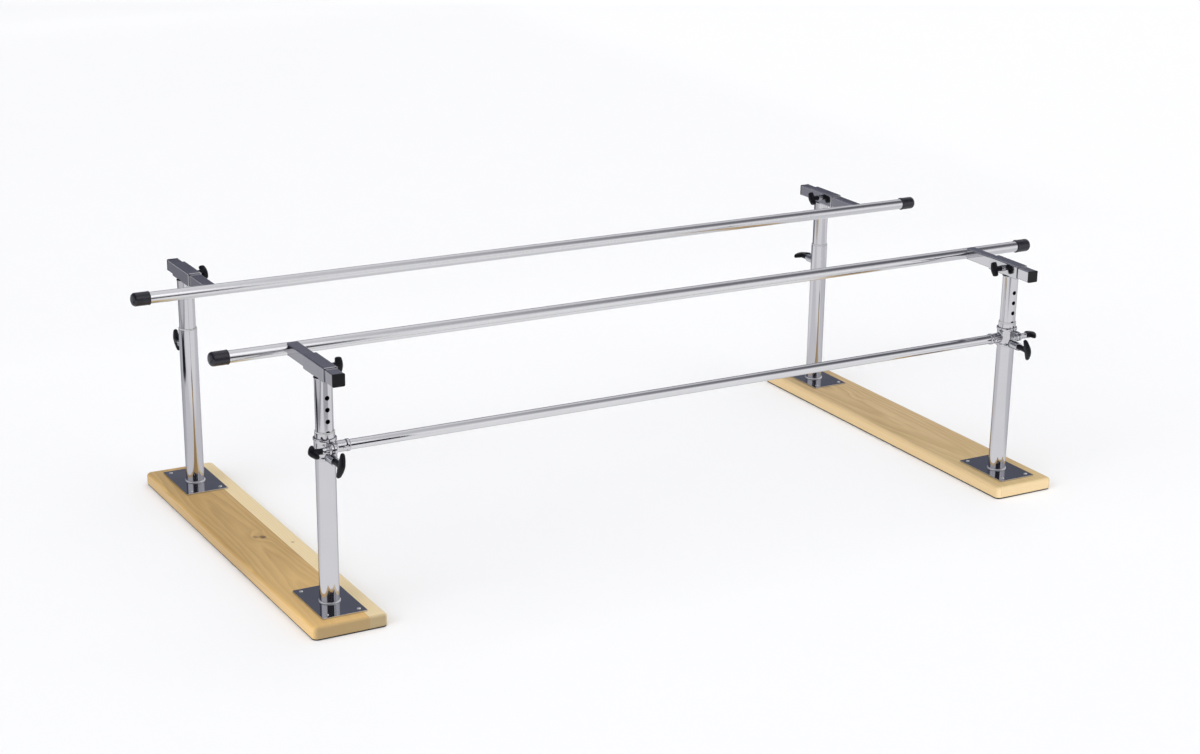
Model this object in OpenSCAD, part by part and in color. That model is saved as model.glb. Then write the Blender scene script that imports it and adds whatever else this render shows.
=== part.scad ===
// Walking parallel bars for rehabilitation: two handrails on cross arms that slide in sleeves,
// four telescopic posts with pull pins, and two wooden floor boards.
// The origin is on the floor midway between the posts. X runs along the handrails, Z is up.
// Each post is drawn in its own frame: +X towards the middle of the rails, +Y outwards.

/* [Layout] */
// Distance between the left and right posts
post_gap_x = 2520; // [1600:10:2800]
// Distance of each post's axis from the end of its board
post_inset = 162; // [150:2:200]

/* [Floor boards] */
// Length of each board
board_len = 1480; // [1420:10:1800]
// Width of each board
board_w = 238; // [200:2:300]
// Thickness of each board
board_t = 38; // [32:1:50]
// Radius of the board corners, seen from above
board_corner_r = 18; // [14:1:30]
// Radius of the rounded top edges
board_edge_r = 12; // [4:0.5:12]
// Thickness of the rubber mat under each board
mat_t = 4; // [2:0.5:8]
// How far the mat stays inside the board's outline
mat_inset = 2; // [1:0.5:6]

/* [Foot plates] */
// Plate size along the rails
plate_x = 142; // [130:2:180]
// Plate size across the rails
plate_y = 238; // [180:2:260]
// Plate thickness
plate_t = 5; // [4:0.5:8]
// Distance of the screws from the plate edges
screw_inset = 20; // [14:1:26]
// Screw shank diameter
screw_d = 6; // [4:0.5:8]
// Screw length under the head
screw_len = 32; // [20:1:36]
// Screw head diameter
screw_head_d = 12; // [10:0.5:16]
// Height of the domed screw head
screw_head_h = 3; // [2:0.5:4]

/* [Posts] */
// Outer tube diameter
outer_d = 60.4; // [60:0.1:66]
// Outer tube wall
outer_wall = 2; // [1.6:0.1:2.4]
// Height of the outer tube's top above the floor
outer_top = 582; // [560:1:640]
// Width of the weld bead at the foot
weld_w = 3; // [2:0.5:5]
// Height of the weld bead at the foot
weld_h = 6; // [4:0.5:10]
// Inner tube diameter
inner_d = 54; // [50:0.1:54.4]
// Inner tube wall
inner_wall = 2.5; // [1.5:0.1:4]
// Diameter of the height holes
hole_d = 14.5; // [12.6:0.1:15]
// Pitch of the height holes
hole_pitch = 36; // [30:1:36]
// Height holes above the pin
count_above = 5; // [2:1:5]
// Height holes below the pin
count_below = 8; // [4:1:8]
// Inner tube below its lowest hole
inner_tail = 24; // [12:1:28]
// Length of the guide bush inside the outer tube
bush_len = 34; // [20:1:45]
// Thickness of the bush's flange
bush_flange = 3; // [2:0.5:4]

/* [Handrails] */
// Handrail diameter
rail_d = 38; // [34:0.5:38]
// Handrail wall
rail_wall = 2; // [1.5:0.1:3]
// Overall length with the end caps
rail_total = 3036; // [2900:2:3600]
// Height of the handrail axis above the floor
rail_z = 771; // [771:1:840]
// Distance between the handrail axes
rail_gap = 692; // [650:2:700]
// Diameter of the rubber end caps
cap_d = 45; // [42:0.5:50]
// Length of the rubber end caps
cap_len = 58; // [30:1:70]
// Thickness of rubber over the rail's end
cap_tip = 5; // [3:0.5:8]

/* [Cross arms] */
// Width and height of the square arm tube
arm_w = 38; // [36:0.5:42]
// Arm tube wall
arm_wall = 2; // [1.5:0.1:3]
// Arm length outside the post axis
arm_out = 114; // [112:1:130]
// Thickness of the arm's end plug outside the tube
plug_t = 4; // [2:0.5:6]
// How deep the plug goes into the tube
plug_depth = 16; // [8:1:30]
// How far the plug stands out round the tube
plug_lip = 0.8; // [0.5:0.1:2]

/* [Arm sleeves] */
// Sleeve wall
sleeve_wall = 3.5; // [2:0.5:5]
// Clearance between the arm and its sleeve
sleeve_gap = 0.35; // [0.3:0.05:0.6]
// Sleeve length outside the post axis
sleeve_out = 57; // [40:1:58]
// Sleeve length inside the post axis
sleeve_in = 95; // [80:1:100]

/* [Pull pins] */
// Height of the pin above the floor
pin_z = 511; // [505:1:512]
// Pin diameter
pin_d = 12; // [10:0.1:12]
// How far the pin reaches into the inner tube
pin_reach = 5; // [3.5:0.5:6]
// Travel of the pin when it is pulled
pin_travel = 10; // [7:0.5:10]
// Diameter of the pin housing
housing_d = 28; // [24:0.5:28]
// Housing length outside the outer tube
housing_len = 44; // [34:1:46]
// Wall of the housing
housing_wall = 4.5; // [3.5:0.5:5]
// Thickness of the housing's outer end
housing_end = 6; // [4:0.5:8]
// Thickness of the shoulder that the spring pushes on
shoulder_t = 4; // [3:0.5:5]
// Wire diameter of the spring
spring_wire = 1.4; // [1:0.1:1.6]
// Hub length of the pull handle
pull_hub_len = 32; // [26:1:40]
// Span of the pull handle
pull_span = 77; // [60:1:84]

/* [Clamp handles] */
// Hub diameter of every handle
hub_d = 20; // [18:0.5:24]
// Greatest width of the handle bars
bar_w = 19; // [16:0.5:22]
// Width of the handle bars at their ends
bar_end_w = 12; // [10:0.5:14]
// Stud diameter of the clamp handles
stud_d = 8; // [6:0.5:10]
// Span of the handles that clamp the arms
clamp_span = 50; // [44:1:60]
// Hub length of the handles that clamp the arms
clamp_hub_len = 15; // [12:1:30]
// Height of the nut boss on the sleeve
sleeve_boss_h = 8; // [6:1:12]
// Span of the handles that clamp the collars
collar_span = 57; // [52:1:72]
// Hub length of the handles that clamp the collars
collar_hub_len = 22; // [20:1:28]

/* [Brace and collars] */
// Height of the brace axis above the floor
brace_z = 529; // [526:1:540]
// Brace diameter
brace_d = 32; // [28:0.5:32]
// Brace wall
brace_wall = 1.8; // [1.2:0.1:2.5]
// Height of the collar's top above the floor
collar_top = 566; // [564:1:570]
// Height of the collar
collar_h = 66; // [64:1:68]
// Collar wall
collar_wall = 5; // [4:0.5:6]
// Reach of the brace socket from the collar's surface
socket_len = 40; // [30:1:60]
// Wall of the brace socket
socket_wall = 3; // [2:0.5:4]
// Thickness of each clamping ear
ear_t = 9; // [6:0.5:12]
// Width of the slot between the ears
ear_slot = 3; // [2:0.5:4]
// Height of the ears
ear_h = 30; // [26:1:30]
// Distance of the ear bolt from the post axis
ear_reach = 59; // [56:1:64]
// Height of the ear bolt above the floor
ear_z = 544; // [542:1:549]
// Length of the boss on the outer ear
ear_boss = 18; // [10:1:20]

/* [Hidden] */

// Clearances: a running fit, a seated fit and the gap between pieces that only face each other
run_gap = 0.05;
seat_gap = 0.1;
face_gap = 0.3;
// Overlap that joins two shapes of one piece, and the extra length of every cutter
weld = 0.5;
cut = 1;

// Heights and places worked out from the sizes above
post_gap_y = board_len - 2 * post_inset;
board_top = mat_t + board_t;
plate_top = board_top + plate_t;
outer_r = outer_d / 2;
outer_bore_r = outer_r - outer_wall;
inner_r = inner_d / 2;
inner_bore_r = inner_r - inner_wall;
arm_half = arm_w / 2;
rail_r = rail_d / 2;
rail_y = rail_gap / 2;
arm_top = rail_z + arm_half;
sleeve_bore_half = arm_half + sleeve_gap;
sleeve_half = sleeve_bore_half + sleeve_wall;
sleeve_bottom = rail_z - sleeve_half;
inner_bottom = pin_z - count_below * hole_pitch - inner_tail;
arm_inner_end = post_gap_y / 2 - rail_y;

// Places along the pull pin, measured outwards from the post axis
housing_bore_r = housing_d / 2 - housing_wall;
housing_foot = outer_r - outer_wall / 2;
housing_tip = outer_r + housing_len;
shoulder_from = outer_r + cut;
spring_from = shoulder_from + shoulder_t;
spring_to = housing_tip - housing_end;
pin_tip = inner_r - pin_reach;
pull_hub_from = housing_tip + face_gap;
pull_bar_at = pull_hub_from + pull_hub_len;

// Collar, ears and brace socket
collar_bore_r = outer_r + seat_gap;
collar_r = collar_bore_r + collar_wall;
collar_low = collar_top - collar_h;
brace_r = brace_d / 2;
socket_bore_r = brace_r + seat_gap;
socket_r = socket_bore_r + socket_wall;
socket_end = collar_r + socket_len;
brace_start = collar_r + face_gap;
ear_x = ear_slot / 2 + ear_t;
stud_r = stud_d / 2;
stud_bore_r = stud_r + run_gap;
collar_hub_from = ear_x + ear_boss + face_gap;
nut_h = 6;
nut_across = 15;
bolt_r = 3;
bolt_head_r = 5.5;
bolt_head_h = 4;
bolt_x = (collar_r + socket_end) / 2;

// Handle proportions: bar thickness at its middle and ends, and depth of the stud in its hub.
// The bars that clamp the arms are blunter.
bar_mid_t = 26;
bar_end_t = 9;
clamp_mid_t = 24;
clamp_end_t = 19;
stud_in_hub = 16;
clamp_hub_from = sleeve_half + sleeve_boss_h + face_gap;
sleeve_boss_r = 10;

// Arm clamp: halfway along the sleeve
clamp_y = (sleeve_out - sleeve_in) / 2;

// Turn of each handle at rest: the pull handle, the arm clamp handle and, at a near post, the collar handle
POSTS = [
    ["near_left", -1, -1, 13, 0, 20],
    ["near_right", 1, -1, 13, 20, 0],
    ["far_left", -1, 1, -7, -45],
    ["far_right", 1, 1, 90, -30]
];

chrome_c = [0.80, 0.81, 0.84];
steel_c = [0.72, 0.73, 0.75];
wood_c = [0.84, 0.66, 0.42];
rubber_c = [0.10, 0.10, 0.11];
black_c = [0.07, 0.07, 0.08];
nylon_c = [0.86, 0.86, 0.84];
fine = 64;
mid = 32;
small = 24;

// Puts a shape drawn in a post's own frame at one of the four posts
module at_post(p) {
    translate([p[1] * post_gap_x / 2, p[2] * post_gap_y / 2, 0])
        mirror([p[1] > 0 ? 1 : 0, 0, 0])
            mirror([0, p[2] < 0 ? 1 : 0, 0])
                children();
}

// Lays a shape that runs along +Z so that it runs along +Y
module along_y() {
    rotate([-90, 0, 0])
        children();
}

// Lays a shape that runs along +Z so that it runs along +X
module along_x() {
    rotate([0, 90, 0])
        children();
}

// A round bar from one place to another along its own axis
module bar(from, to, r, n = mid) {
    translate([0, 0, from])
        cylinder(h = to - from, r = r, $fn = n);
}

// A round tube from one place to another along its own axis
module tube(from, to, r, bore, n = fine) {
    difference() {
        bar(from, to, r, n);
        bar(from - cut, to + cut, bore, n);
    }
}

module rounded_rect(x, y, r) {
    union() {
        square([x - 2 * r, y], center = true);
        square([x, y - 2 * r], center = true);
        for (sx = [-1, 1], sy = [-1, 1])
            translate([sx * (x / 2 - r), sy * (y / 2 - r)])
                circle(r = r, $fn = mid);
    }
}

// Side view of a board with both top edges rounded
module eased_profile(w, t, e) {
    union() {
        translate([-w / 2, 0])
            square([w, t - e]);
        translate([e - w / 2, 0])
            square([w - 2 * e, t]);
        for (s = [-1, 1])
            translate([s * (w / 2 - e), t - e])
                circle(r = e, $fn = mid);
    }
}

// A board with round corners and rounded top edges
module eased_board(x, y, t, r, e) {
    intersection() {
        linear_extrude(t)
            rounded_rect(x, y, r);
        translate([0, y / 2 + cut, 0])
            rotate([90, 0, 0])
                linear_extrude(y + 2 * cut)
                    eased_profile(x, t, e);
        translate([-x / 2 - cut, 0, 0])
            rotate([90, 0, 90])
                linear_extrude(x + 2 * cut)
                    eased_profile(y, t, e);
    }
}

// The four screw places of one plate, in the post's frame
module at_plate_screws() {
    for (sx = [-1, 1], sy = [-1, 1])
        translate([sx * (plate_x / 2 - screw_inset), sy * (plate_y / 2 - screw_inset), 0])
            children();
}

module board(side) {
    color(wood_c)
        difference() {
            translate([side * post_gap_x / 2, 0, mat_t])
                eased_board(board_w, board_len, board_t, board_corner_r, board_edge_r);
            for (p = POSTS)
                if (p[1] == side)
                    at_post(p)
                        at_plate_screws()
                            bar(plate_top - screw_len - cut, board_top + cut, screw_d / 2 + run_gap, small);
        }
}

module mat(side) {
    color(rubber_c)
        translate([side * post_gap_x / 2, 0, 0])
            linear_extrude(mat_t)
                rounded_rect(board_w - 2 * mat_inset, board_len - 2 * mat_inset, board_corner_r - mat_inset);
}

module foot_plate() {
    color(chrome_c)
        difference() {
            translate([-plate_x / 2, -plate_y / 2, board_top])
                cube([plate_x, plate_y, plate_t]);
            at_plate_screws()
                bar(board_top - cut, plate_top + cut, screw_d / 2 + seat_gap, small);
        }
}

// One plate screw: a shank with a point and a low domed head with a cross recess
module plate_screw() {
    point = screw_d;
    recess_w = 1.2;
    recess_l = 6;
    recess_h = 1.5;
    dome_r = (pow(screw_head_d / 2, 2) + pow(screw_head_h, 2)) / (2 * screw_head_h);
    difference() {
        union() {
            bar(plate_top - screw_len + point, plate_top + weld, screw_d / 2, small);
            translate([0, 0, plate_top - screw_len])
                cylinder(h = point, r1 = recess_w, r2 = screw_d / 2, $fn = small);
            intersection() {
                bar(plate_top, plate_top + screw_head_h, screw_head_d / 2, mid);
                translate([0, 0, plate_top + screw_head_h - dome_r])
                    sphere(r = dome_r, $fn = fine);
            }
        }
        for (a = [0, 90])
            rotate([0, 0, a])
                translate([-recess_l / 2, -recess_w / 2, plate_top + screw_head_h - recess_h])
                    cube([recess_l, recess_w, recess_h + cut]);
    }
}

module plate_screws() {
    color(steel_c)
        for (p = POSTS)
            at_post(p)
                at_plate_screws()
                    plate_screw();
}

module outer_tube() {
    color(chrome_c)
        difference() {
            union() {
                tube(plate_top, outer_top, outer_r, outer_bore_r);
                rotate_extrude($fn = fine)
                    translate([outer_r - weld, plate_top])
                        intersection() {
                            square([weld_w + weld, weld_h]);
                            circle(r = weld_h, $fn = mid);
                        }
            }
            translate([0, 0, pin_z])
                along_y()
                    bar(0, outer_d, pin_d / 2 + seat_gap);
        }
}

module guide_bush() {
    tube(outer_top - bush_len, outer_top + weld, outer_bore_r - run_gap, inner_r + run_gap);
    tube(outer_top, outer_top + bush_flange, outer_r, inner_r + run_gap);
}

module guide_bushes() {
    color(nylon_c)
        for (p = POSTS)
            at_post(p)
                guide_bush();
}

// The housing stands on the outer tube, so its foot is cut to the tube's surface
module pin_housing() {
    color(chrome_c)
        difference() {
            translate([0, 0, pin_z])
                along_y()
                    bar(housing_foot, housing_tip, housing_d / 2);
            translate([0, 0, pin_z])
                along_y()
                    bar(0, housing_tip - housing_end, housing_bore_r);
            translate([0, 0, pin_z])
                along_y()
                    bar(0, housing_tip + cut, pin_d / 2 + run_gap);
            bar(pin_z - housing_d, pin_z + housing_d, outer_r, fine);
        }
}

module pull_pin() {
    nose = 2;
    color(steel_c)
        translate([0, 0, pin_z])
            along_y() {
                bar(pin_tip + nose, pull_hub_from + stud_in_hub, pin_d / 2);
                translate([0, 0, pin_tip])
                    cylinder(h = nose, r1 = pin_d / 2 - nose, r2 = pin_d / 2, $fn = mid);
                bar(shoulder_from, spring_from, housing_bore_r - face_gap);
            }
}

// Room taken by the coil spring between the pin's shoulder and the housing's end
module pin_spring() {
    color(steel_c)
        translate([0, 0, pin_z])
            along_y()
                tube(spring_from + seat_gap, spring_to - seat_gap,
                    pin_d / 2 + face_gap + spring_wire, pin_d / 2 + face_gap, mid);
}

// A bar handle on +Z: a round hub, and a bar that is thick in the middle and thin at its ends.
// A bore radius above zero leaves a blind hole for a pin.
module t_handle(span, hub_len, bore_r, mid_t = bar_mid_t, end_t = bar_end_t) {
    half = span / 2;
    drop = mid_t - end_t;
    back_r = (half * half + drop * drop) / (2 * drop);
    taper = (bar_w - bar_end_w) / 2;
    side_r = (half * half + taper * taper) / (2 * taper);
    difference() {
        union() {
            bar(0, hub_len + weld, hub_d / 2);
            intersection() {
                translate([0, bar_w / 2, hub_len])
                    rotate([90, 0, 0])
                        linear_extrude(bar_w)
                            intersection() {
                                translate([-half, 0])
                                    square([span, mid_t]);
                                translate([0, mid_t - back_r])
                                    circle(r = back_r, $fn = 2 * fine);
                            }
                translate([0, 0, hub_len])
                    linear_extrude(mid_t)
                        intersection() {
                            translate([0, side_r - bar_w / 2])
                                circle(r = side_r, $fn = 4 * fine);
                            translate([0, bar_w / 2 - side_r])
                                circle(r = side_r, $fn = 4 * fine);
                            circle(r = half, $fn = fine);
                        }
            }
        }
        if (bore_r > 0)
            bar(-cut, stud_in_hub, bore_r);
    }
}

module pull_handle(turn) {
    color(black_c)
        translate([0, pull_hub_from, pin_z])
            along_y()
                rotate([0, 0, 90 + turn])
                    t_handle(pull_span, pull_hub_len, pin_d / 2 + run_gap);
}

// Split collar round the outer tube, with a brace socket inwards and two clamping ears outwards
module collar() {
    color(chrome_c)
        difference() {
            union() {
                bar(collar_low, collar_top, collar_r, fine);
                translate([0, 0, brace_z])
                    along_x()
                        bar(outer_r, socket_end, socket_r);
                translate([-ear_x, 0, ear_z - ear_h / 2])
                    cube([2 * ear_x, ear_reach, ear_h]);
                translate([-ear_x, ear_reach, ear_z])
                    along_x()
                        bar(0, 2 * ear_x, ear_h / 2);
                translate([-ear_x - ear_boss, ear_reach, ear_z])
                    along_x()
                        bar(0, ear_boss + weld, hub_d / 2 + cut);
            }
            bar(collar_low - cut, collar_top + cut, collar_bore_r, fine);
            translate([0, 0, brace_z])
                along_x()
                    bar(brace_start - face_gap, socket_end + cut, socket_bore_r);
            translate([-ear_slot / 2, 0, collar_low - cut])
                cube([ear_slot, ear_reach + ear_h, collar_h + 2 * cut]);
            translate([-ear_x - ear_boss - cut, ear_reach, ear_z])
                along_x()
                    bar(0, 2 * ear_x + ear_boss + 2 * cut, stud_bore_r, small);
            translate([0, 0, pin_z])
                along_y()
                    bar(0, housing_tip, housing_d / 2 + seat_gap);
            translate([bolt_x, 0, brace_z])
                along_y()
                    bar(-socket_r - cut, socket_r + cut, bolt_r + seat_gap, small);
        }
}

// Hexagon nut on the inner ear
module collar_nuts() {
    color(steel_c)
        for (p = POSTS)
            if (p[2] < 0)
                at_post(p)
                    translate([ear_x, ear_reach, ear_z])
                        along_x()
                            difference() {
                                cylinder(h = nut_h, r = nut_across / sqrt(3), $fn = 6);
                                bar(-cut, nut_h + cut, stud_bore_r, small);
                            }
}

module clamp_stud(from, to) {
    bar(from, to, stud_r, small);
}

// Handle with its stud, drawn along -X from the ear's boss
module collar_knob(turn) {
    color(black_c)
        translate([0, ear_reach, ear_z])
            mirror([1, 0, 0])
                along_x() {
                    clamp_stud(-ear_x - nut_h - cut, collar_hub_from + stud_in_hub);
                    translate([0, 0, collar_hub_from])
                        rotate([0, 0, 90 - turn])
                            t_handle(collar_span, collar_hub_len, 0);
                }
}

module brace_tube() {
    reach = post_gap_x / 2 - brace_start;
    color(chrome_c)
        translate([0, -post_gap_y / 2, brace_z])
            difference() {
                along_x()
                    tube(-reach, reach, brace_r, brace_r - brace_wall);
                for (sx = [-1, 1])
                    translate([sx * (post_gap_x / 2 - bolt_x), 0, 0])
                        along_y()
                            bar(-brace_d, brace_d, bolt_r + seat_gap, small);
            }
}

// Cross bolts that hold the brace in its sockets, head outwards and nut inwards
module brace_bolts() {
    color(steel_c)
        for (p = POSTS)
            if (p[2] < 0)
                at_post(p)
                    translate([bolt_x, 0, brace_z])
                        along_y() {
                            bar(-socket_r - bolt_head_h, socket_r + weld, bolt_r, small);
                            bar(socket_r, socket_r + bolt_head_h, bolt_head_r, small);
                            translate([0, 0, -socket_r - bolt_head_h])
                                cylinder(h = bolt_head_h, r = bolt_head_r, $fn = 6);
                        }
}

module inner_tube() {
    color(chrome_c)
        difference() {
            tube(inner_bottom, sleeve_bottom, inner_r, inner_bore_r);
            for (k = [-count_below : count_above])
                translate([0, 0, pin_z + k * hole_pitch])
                    along_y()
                        bar(0, inner_d, hole_d / 2);
        }
}

module square_tube(from, to, half, bore_half) {
    difference() {
        translate([-half, from, -half])
            cube([2 * half, to - from, 2 * half]);
        translate([-bore_half, from - cut, -bore_half])
            cube([2 * bore_half, to - from + 2 * cut, 2 * bore_half]);
    }
}

// Square sleeve on the inner tube, with the nut boss of its clamp handle
module sleeve() {
    color(chrome_c)
        translate([0, 0, rail_z])
            difference() {
                union() {
                    square_tube(-sleeve_in, sleeve_out, sleeve_half, sleeve_bore_half);
                    translate([sleeve_half - weld, clamp_y, 0])
                        along_x()
                            bar(0, sleeve_boss_h + weld, sleeve_boss_r);
                }
                translate([0, clamp_y, 0])
                    along_x()
                        bar(0, clamp_hub_from, stud_bore_r, small);
            }
}

module arm_knob(turn) {
    color(black_c)
        translate([0, clamp_y, rail_z])
            along_x() {
                clamp_stud(arm_half + face_gap, clamp_hub_from + stud_in_hub);
                translate([0, 0, clamp_hub_from])
                    rotate([0, 0, turn])
                        t_handle(clamp_span, clamp_hub_len, 0, clamp_mid_t, clamp_end_t);
            }
}

// The inner end of the arm is cut to the round of the handrail that it is welded to
module arm() {
    color(chrome_c)
        translate([0, 0, rail_z])
            difference() {
                square_tube(-arm_inner_end, arm_out, arm_half, arm_half - arm_wall);
                translate([-arm_w, -arm_inner_end, 0])
                    along_x()
                        bar(0, 2 * arm_w, rail_r, fine);
            }
}

module arm_plug() {
    lip_half = arm_half + plug_lip;
    plug_half = arm_half - arm_wall - seat_gap;
    union() {
        translate([-lip_half, arm_out, rail_z - lip_half])
            cube([2 * lip_half, plug_t, 2 * lip_half]);
        translate([-plug_half, arm_out - plug_depth, rail_z - plug_half])
            cube([2 * plug_half, plug_depth + weld, 2 * plug_half]);
    }
}

module arm_plugs(side) {
    color(black_c)
        for (p = POSTS)
            if (p[2] == side)
                at_post(p)
                    arm_plug();
}

module rail(side) {
    reach = rail_total / 2 - cap_tip;
    color(steel_c)
        translate([0, side * rail_y, rail_z])
            along_x()
                tube(-reach, reach, rail_r, rail_r - rail_wall);
}

// A rubber cup with a round nose over each end of a rail
module rail_caps(side) {
    cap_r = cap_d / 2;
    nose_r = cap_r / 2;
    end = rail_total / 2;
    color(rubber_c)
        for (sx = [-1, 1])
            translate([0, side * rail_y, rail_z])
                rotate([0, sx * 90, 0])
                    rotate_extrude($fn = fine)
                        difference() {
                            union() {
                                translate([0, end - cap_len])
                                    square([cap_r, cap_len - nose_r]);
                                translate([0, end - nose_r - weld])
                                    square([cap_r - nose_r, nose_r + weld]);
                                intersection() {
                                    translate([cap_r - nose_r, end - nose_r])
                                        circle(r = nose_r, $fn = mid);
                                    translate([0, end - 2 * nose_r])
                                        square([cap_r, 2 * nose_r]);
                                }
                            }
                            translate([0, end - cap_len - cut])
                                square([rail_r + run_gap, cap_len - cap_tip + cut]);
                        }
}

board(-1);  // left_board
board(1);  // right_board
mat(-1);  // left_mat
mat(1);  // right_mat
plate_screws();
guide_bushes();
collar_nuts();
brace_tube();
brace_bolts();
arm_plugs(-1);  // near_arm_plugs
arm_plugs(1);  // far_arm_plugs
rail(-1);  // near_rail
rail(1);  // far_rail
rail_caps(-1);  // near_rail_caps
rail_caps(1);  // far_rail_caps
for (p = POSTS) {
    at_post(p) foot_plate();
    at_post(p) outer_tube();
    at_post(p) pin_housing();
    at_post(p) pull_pin();
    at_post(p) pin_spring();
    at_post(p) pull_handle(p[3]);
    at_post(p) inner_tube();
    at_post(p) sleeve();
    at_post(p) arm_knob(p[4]);
    at_post(p) arm();
    if (p[2] < 0) {
        at_post(p) collar();
        at_post(p) collar_knob(p[5]);
    }
}
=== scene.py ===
"""Walking parallel bars: detailed pieces, materials, floor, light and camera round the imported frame."""
import math
from collections import namedtuple
from math import cos, pi, radians, sin, sqrt

import bpy
from mathutils import Matrix, Vector


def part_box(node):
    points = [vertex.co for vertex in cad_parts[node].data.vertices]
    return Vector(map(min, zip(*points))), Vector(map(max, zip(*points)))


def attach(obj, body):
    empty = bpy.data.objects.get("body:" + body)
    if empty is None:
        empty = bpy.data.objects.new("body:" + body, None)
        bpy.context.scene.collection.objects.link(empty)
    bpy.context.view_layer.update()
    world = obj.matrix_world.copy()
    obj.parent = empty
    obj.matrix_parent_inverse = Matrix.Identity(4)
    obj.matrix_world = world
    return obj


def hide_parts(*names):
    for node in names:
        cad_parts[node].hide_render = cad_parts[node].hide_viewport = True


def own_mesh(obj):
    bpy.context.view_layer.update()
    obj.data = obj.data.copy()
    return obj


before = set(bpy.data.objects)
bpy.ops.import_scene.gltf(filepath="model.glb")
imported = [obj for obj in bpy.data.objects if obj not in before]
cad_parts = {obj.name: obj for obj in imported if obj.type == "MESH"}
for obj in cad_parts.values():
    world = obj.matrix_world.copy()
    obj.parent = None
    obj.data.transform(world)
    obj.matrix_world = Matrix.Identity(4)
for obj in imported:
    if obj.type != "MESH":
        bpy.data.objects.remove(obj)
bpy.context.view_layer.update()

# Each post's side of X and of Y, and the turns in degrees of its pull handle, of its arm's clamp handle and,
# at a near post, of its collar's handle
Post = namedtuple("Post", "x y pull clamp collar", defaults=(None,))
POSTS = {
    "near_left": Post(-1, -1, pull=13, clamp=0, collar=20),
    "near_right": Post(1, -1, pull=13, clamp=20, collar=0),
    "far_left": Post(-1, 1, pull=-7, clamp=-45),
    "far_right": Post(1, 1, pull=90, clamp=-30),
}
NEAR_POSTS = [post for post in POSTS if POSTS[post].y < 0]
SIDES = (("near", -1), ("far", 1))

tube_low, tube_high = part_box("near_left_inner_tube")
POST_X = -(tube_low.x + tube_high.x) / 2
POST_Y = -(tube_low.y + tube_high.y) / 2


def post_matrix(post):
    """From a post's own frame, +X inboard and +Y outward, to the row frame."""
    sx, sy = POSTS[post].x, POSTS[post].y
    return Matrix.Translation((sx * POST_X, sy * POST_Y, 0)) @ Matrix.Diagonal((-sx, sy, 1, 1))


def own_box(node, post="near_left"):
    """Lowest and highest corner of a node in its post's own frame."""
    into = post_matrix(post).inverted()
    a, b = (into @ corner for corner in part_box(node))
    return Vector(map(min, a, b)), Vector(map(max, a, b))


def mid(node):
    """The middle of a node's box."""
    low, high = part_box(node)
    return (low + high) / 2


def half_size(node):
    """Half the size of a node's box along each axis."""
    low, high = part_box(node)
    return (high - low) / 2


def shared(post, kind):
    """A body that both posts of one side share: their lift, or the bar with its arms."""
    return post.split("_")[0] + "_" + kind


# Sizes read from the frame, in metres
INNER_LOW, INNER_HIGH = own_box("near_left_inner_tube")
SLEEVE_LOW, SLEEVE_HIGH = own_box("near_left_sleeve")
ARM_HIGH = own_box("near_left_arm")[1]
HOUSING_HIGH = own_box("near_left_pin_housing")[1]
PIN_LOW, PIN_HIGH = own_box("near_left_pull_pin")
SPRING_LOW, SPRING_HIGH = own_box("near_left_pin_spring")
PULL_LOW, PULL_HIGH = own_box("near_left_pull_handle")
CLAMP_LOW, CLAMP_HIGH = own_box("near_left_arm_knob")
COLLAR_LOW, COLLAR_HIGH = own_box("near_left_collar")
COLLAR_KNOB_LOW, COLLAR_KNOB_HIGH = own_box("near_left_collar_knob")
PLUG_HIGH = own_box("near_arm_plugs")[1]
RAIL_LOW, RAIL_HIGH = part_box("near_rail")
CAP_LOW, CAP_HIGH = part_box("near_rail_caps")

PLATE_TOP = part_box("near_left_plate")[1].z
OUTER_TOP = own_box("near_left_outer_tube")[1].z
INNER_R = (INNER_HIGH.x - INNER_LOW.x) / 2
PIN_Z = mid("near_left_pin_housing").z
RAIL_Z = mid("near_rail").z
RAIL_R = (RAIL_HIGH.z - RAIL_LOW.z) / 2
RAIL_Y = -(RAIL_LOW.y + RAIL_HIGH.y) / 2
ARM_HALF = ARM_HIGH.x
ARM_OUT = ARM_HIGH.y
ARM_IN = POST_Y - RAIL_Y
SLEEVE_HALF = SLEEVE_HIGH.z - RAIL_Z
CLAMP_Y = (SLEEVE_LOW.y + SLEEVE_HIGH.y) / 2
BRACE_Z = mid("brace_tube").z
EAR_Z = mid("near_left_collar_knob").z
HOUSING_R = HOUSING_HIGH.x

# Sizes inside the pieces, in metres
BOARD_CORNER, BOARD_EDGE, BOARD_FOOT = 0.018, 0.012, 0.0025
SCREW_R, SCREW_H, SCREW_INSET = 0.006, 0.003, 0.020
OUTER_R, OUTER_WALL = 0.0302, 0.002
INNER_WALL = 0.0025
RAIL_WALL = ARM_WALL = 0.002
HOLE_R, HOLE_PITCH, HOLES_BELOW, HOLES_ABOVE = 0.00725, 0.036, 8, 5
PIN_R, PIN_SHOULDER_R, SHOULDER_T, PIN_TRAVEL = 0.006, 0.0092, 0.004, 0.010
SPRING_WIRE_R, SPRING_TURNS = 0.00065, 6
HOUSING_BORE, HOUSING_END = 0.0095, 0.006
SLEEVE_WALL, SLEEVE_CORNER, SLEEVE_BOSS_R = 0.0035, 0.0042, 0.010
ARM_CORNER = 0.0032
PLUG_LIP, PLUG_DEPTH = 0.0008, 0.016
CAP_LEN, CAP_TIP, CAP_DOME = 0.058, 0.005, 0.0125
BRACE_R, BRACE_WALL, SOCKET_R = 0.016, 0.0018, 0.0191
COLLAR_R, COLLAR_BORE = 0.0353, 0.0303
EAR_Y, EAR_X, EAR_R, EAR_SLOT = 0.059, 0.0105, 0.015, 0.003
STUD_R = 0.004
NUT_ACROSS, NUT_H = 0.015, 0.006
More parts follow.
